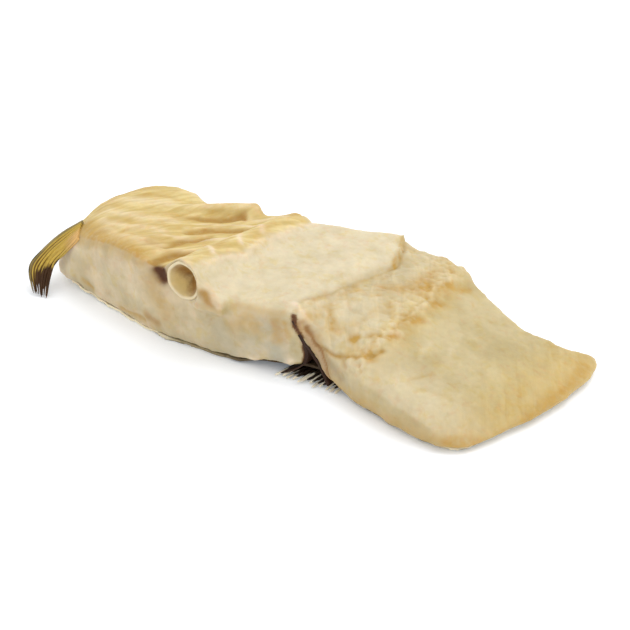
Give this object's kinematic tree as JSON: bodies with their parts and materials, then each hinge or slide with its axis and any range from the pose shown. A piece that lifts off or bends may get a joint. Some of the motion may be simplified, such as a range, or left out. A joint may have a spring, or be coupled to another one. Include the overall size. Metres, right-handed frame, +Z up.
{
  "type": "salted dried cod",
  "caption": "Cross-cut piece of a split, salted and dried cod, opened flat and lying skin side down, with its skin, backbone and two fins.",
  "frame": {"origin": "middle of the bounding box's base, on the board that the piece lies on", "axes": "+X along the piece from the backbone flank to the other flank, +Y from the front cut to the back cut, +Z up"},
  "size_m": [0.224, 0.1162, 0.0401],
  "materials": {
    "flesh": "dull, salted, slightly waxy",
    "skin": "thin, dried, dull",
    "backbone": "dull bone with a thin dried film",
    "anal_fin": "dried, striped along the rays",
    "dorsal_fin": "dried, pale ray tips"
  },
  "bodies": {
    "root": {"flesh": "flesh", "skin": "skin", "backbone": "backbone", "anal_fin": "anal_fin", "dorsal_fin": "dorsal_fin"}
  },
  "joints": []
}
